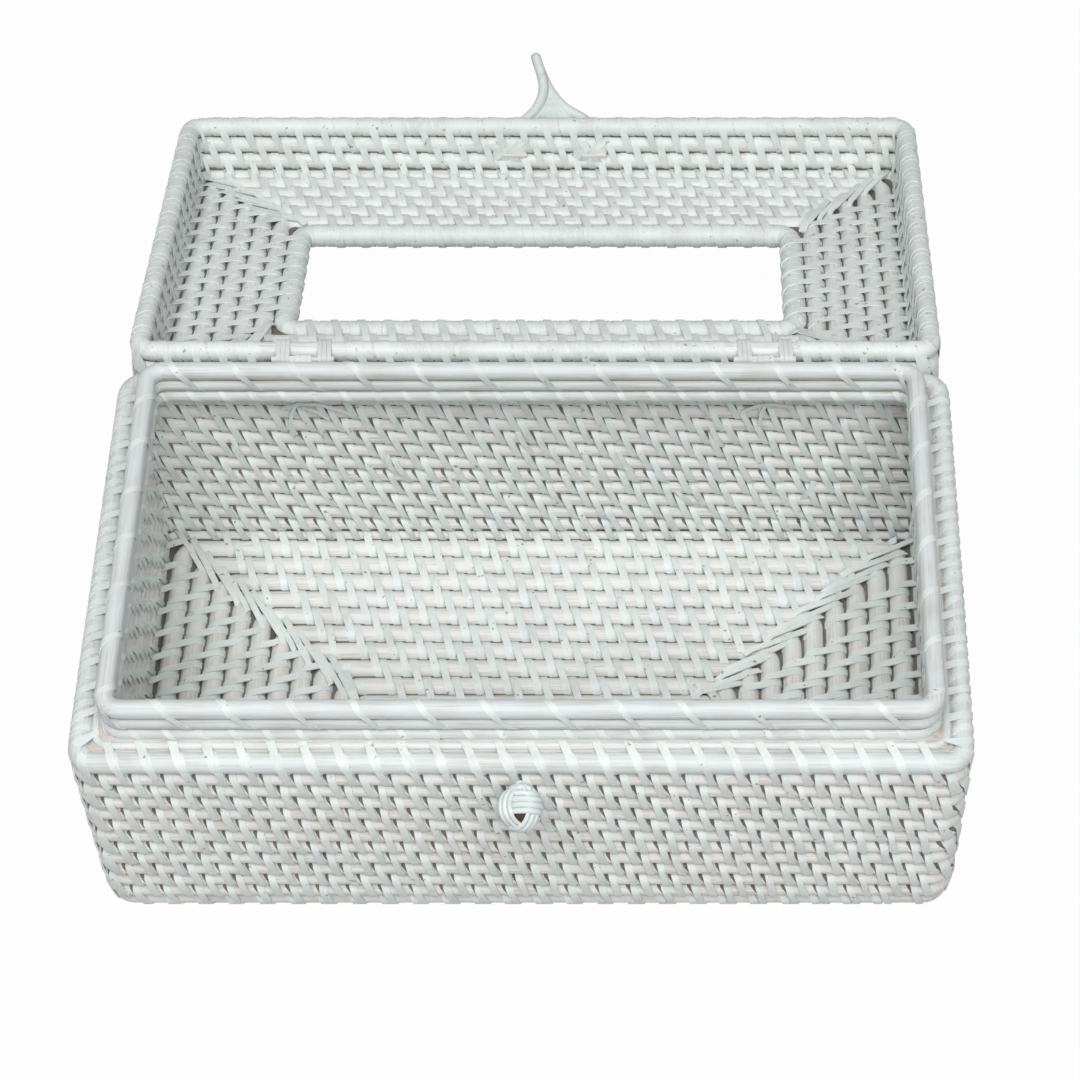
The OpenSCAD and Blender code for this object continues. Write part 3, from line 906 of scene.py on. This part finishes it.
def gap_web(rod_a, rod_b, corner=CORNER, deep=WEB_DEEP):
    """What lies deep between two rings: a dark sheet from the middle of one to the other."""
    wide_a, deep_a = 2 * (RIM_X - rod_a[0]) * MM, 2 * (RIM_Y - rod_a[0]) * MM
    wide_b, deep_b = 2 * (RIM_X - rod_b[0]) * MM, 2 * (RIM_Y - rod_b[0]) * MM
    deselect()
    bpy.ops.mesh.primitive_plane_add(size=1.0, enter_editmode=True)
    web = bpy.context.active_object
    bpy.ops.transform.resize(value=(wide_a, deep_a, 1.0), center_override=(0, 0, 0))
    bpy.ops.mesh.bevel(offset=corner * MM, segments=4, affect="VERTICES", profile=0.5)
    bpy.ops.transform.translate(value=(0.0, 0.0, rod_a[1] * MM))
    bpy.ops.mesh.select_all(action="SELECT")
    pull((0.0, 0.0, rod_a[1]), (0.0, 0.0, rod_b[1]))
    bpy.ops.transform.resize(value=(wide_b / wide_a, deep_b / deep_a, 1.0), center_override=(0, 0, 0))
    bpy.ops.object.mode_set(mode="OBJECT")
    work = bmesh.new()
    work.from_mesh(web.data)
    bmesh.ops.delete(work, geom=[f for f in work.faces if len(f.verts) > 4], context="FACES_ONLY")
    work.to_mesh(web.data)
    work.free()
    thick = web.modifiers.new("thick", "SOLIDIFY")
    thick.thickness = deep * MM
    thick.offset = 0.0
    bpy.ops.object.modifier_apply(modifier="thick")
    return web


def pairs(rings):
    return zip(rings, rings[1:])


webs = [gap_web(*pair) for rings in (WALL + [RIM], FLOOR[:10]) for pair in pairs(rings)]
webs.append(gap_web(FLOOR[9], FLOOR[10], CORE_CORNER))
base_web = join("base_gap_web", webs)
collar_web = join("collar_gap_web", [gap_web(*pair, deep=THIN_WEB) for pair in pairs([RIM, SEAT, COLLAR[0]])]
                  + [gap_web(*pair, deep=COLLAR_WEB) for pair in pairs(COLLAR)])
lid_web = join("lid_gap_web", [gap_web(*pair) for pair in pairs(LID_WALL + LID_TOP + [SLOT])])
open_lid(lid_web)
# paler painted shade over washed cane, for the webs under the collar
SHADE = rod_paint("washed_cane_in_gaps", (196, 190, 184), (160, 150, 141), rough=0.6)
for piece, body, paint in ((base_web, "base", DEEP), (collar_web, "base", SHADE), (lid_web, "lid", DEEP)):
    piece.data.materials.append(paint)
    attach(piece, body)
print("webs:", [len(piece.data.polygons) for piece in (base_web, collar_web, lid_web)], "faces")

# %% [markdown]
# ## Which body each piece rides on, and its paint
# The wound strips already have their paint from the turn that they were made of, and the straps get
# it here. What is wound on the base stays with it, what is wound on the lid turns with the lid, and
# the loop swings by itself. The button and the loop are of finer cane, on which less wash has worn
# off.

# %% The strips and straps
for piece in wound_base + wound_lid:
    if not piece.data.materials:
        piece.data.materials.append(STRIP)
for piece in wound_base:
    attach(piece, "base")
for piece in wound_lid:
    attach(piece, "lid")
print("wound pieces:", len(wound_base), "on the base and", len(wound_lid), "on the lid")

# %% The button and the loop
KNOT = strip_paint("washed_knot", (224, 232, 230), (208, 214, 212), worn_share=0.15)
# a plain dark brown for the ball's core, which shows through the hole between its bands
CORE = rod_paint("bare_cane_core", (74, 54, 40), (44, 30, 22), rough=0.7)
for piece, paint, body, slot in ((ball, KNOT, "base", "binding_cane"), (core, CORE, "base", "binding_cane"),
                                 (loop, KNOT, "loop", "loop_cane")):
    piece.data.materials.clear()
    piece.data.materials.append(paint)
    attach(piece, body)
    print(piece.name, "is painted", paint.name)

# %% [markdown]
# ## The rods
# The courses are the model's own solids, so they only need paint. The rods of the collar and of the
# rim are smooth cane with a cooler wash, made darker than the others as painted shade against the
# strong light that falls on them. The lid's paint is turned with the lid, so that its streaks still
# follow its sides.

# %% Paint for the rods
BASE_ROD = rod_paint("washed_rod", (228, 228, 225), (206, 202, 198))
# painted shade: a darker wash on the collar's and the rim's rods, against the light they catch
COLLAR_ROD = rod_paint("washed_collar", (216, 222, 221), (199, 199, 195))
LID_ROD = rod_paint("washed_lid_rod", (229, 232, 230), (208, 205, 201), on_lid=True)
for name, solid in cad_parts.items():
    if name.startswith("collar") or name in ("base_rim_rod", "seat_rod"):
        paint = COLLAR_ROD
    elif name.startswith(("lid", "slot")):
        paint = LID_ROD
    else:
        paint = BASE_ROD
    solid.data.materials.clear()
    solid.data.materials.append(paint)
print("painted solids:", len(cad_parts))

# %% [markdown]
# ## The studio
# The photograph has plain white paper and a broad, even light from above. The floor and the world
# look white to the camera and in reflections, while the lamps stay modest, so that the wash keeps
# its colour.

# %% The paper floor
SHOWN_TO = ("Is Camera Ray", "Is Glossy Ray", "Is Transmission Ray")
PAPER_WIDE, PAPER_Z, PAPER_GLOW = 8.0, -0.8 * MM, 0.975
deselect()
bpy.ops.mesh.primitive_plane_add(size=PAPER_WIDE, location=(0.0, 0.0, PAPER_Z))
ground = bpy.context.active_object
ground.name = "paper_floor"
paper = Paint("paper")
paper.out(Base_Color=(0.45, 0.45, 0.45, 1.0), Roughness=0.9)
camera_ray, glossy_ray, clear_ray = [paper.node("ShaderNodeLightPath", output=kind) for kind in SHOWN_TO]
glow = paper.node("ShaderNodeEmission", {}, {"Color": (1.0, 1.0, 1.0, 1.0), "Strength": 1.0})
share = (camera_ray + glossy_ray + clear_ray) * PAPER_GLOW
mixed = paper.node("ShaderNodeMixShader", {}, {0: share, 1: Val(paper, paper.shader.outputs[0]), 2: glow})
paper.tree.links.new(mixed.socket, paper.tree.nodes["Material Output"].inputs[0])
ground.data.materials.append(paper.material)
print("paper:", PAPER_WIDE, "m wide")

# %% The world
SKY_COLOUR, SKY_STRENGTH = (0.97, 0.985, 1.0, 1.0), 0.20
world = bpy.data.worlds.new("studio")
bpy.context.scene.world = world
world.use_nodes = True
sky = world.node_tree
back = sky.nodes["Background"]
back.inputs["Color"].default_value = SKY_COLOUR
back.inputs["Strength"].default_value = SKY_STRENGTH
white = sky.nodes.new("ShaderNodeBackground")
white.inputs["Color"].default_value = (1.0, 1.0, 1.0, 1.0)
ray = sky.nodes.new("ShaderNodeLightPath")
pick = sky.nodes.new("ShaderNodeMixShader")
shown = ray.outputs[SHOWN_TO[0]]
for kind in SHOWN_TO[1:]:
    either = sky.nodes.new("ShaderNodeMath")
    either.operation = "MAXIMUM"
    sky.links.new(shown, either.inputs[0])
    sky.links.new(ray.outputs[kind], either.inputs[1])
    shown = either.outputs[0]
sky.links.new(shown, pick.inputs[0])
sky.links.new(back.outputs[0], pick.inputs[1])
sky.links.new(white.outputs[0], pick.inputs[2])
sky.links.new(pick.outputs[0], sky.nodes["World Output"].inputs[0])
print("nodes in the world:", len(sky.nodes))

# %% Two lamps
LAMP_WIDE = 0.8
LAMP_AIM = (0.0, 0.05, 0.05)


def lamp(name, at, watts):
    data = bpy.data.lights.new(name, "AREA")
    data.size = LAMP_WIDE
    data.energy = watts
    made = bpy.data.objects.new(name, data)
    bpy.context.scene.collection.objects.link(made)
    made.location = at
    way = [b - a for a, b in zip(at, LAMP_AIM)]
    made.rotation_euler = (math.atan2(math.hypot(way[0], way[1]), -way[2]), 0.0, math.atan2(-way[0], way[1]))
    print(name, "at", at, "with", watts, "W")


lamp("softbox_key", (-0.32, -0.52, 1.72), 14.4)
lamp("softbox_camera", (0.30, -1.02, 1.40), 14.2)
bpy.context.scene.view_settings.view_transform = "Standard"
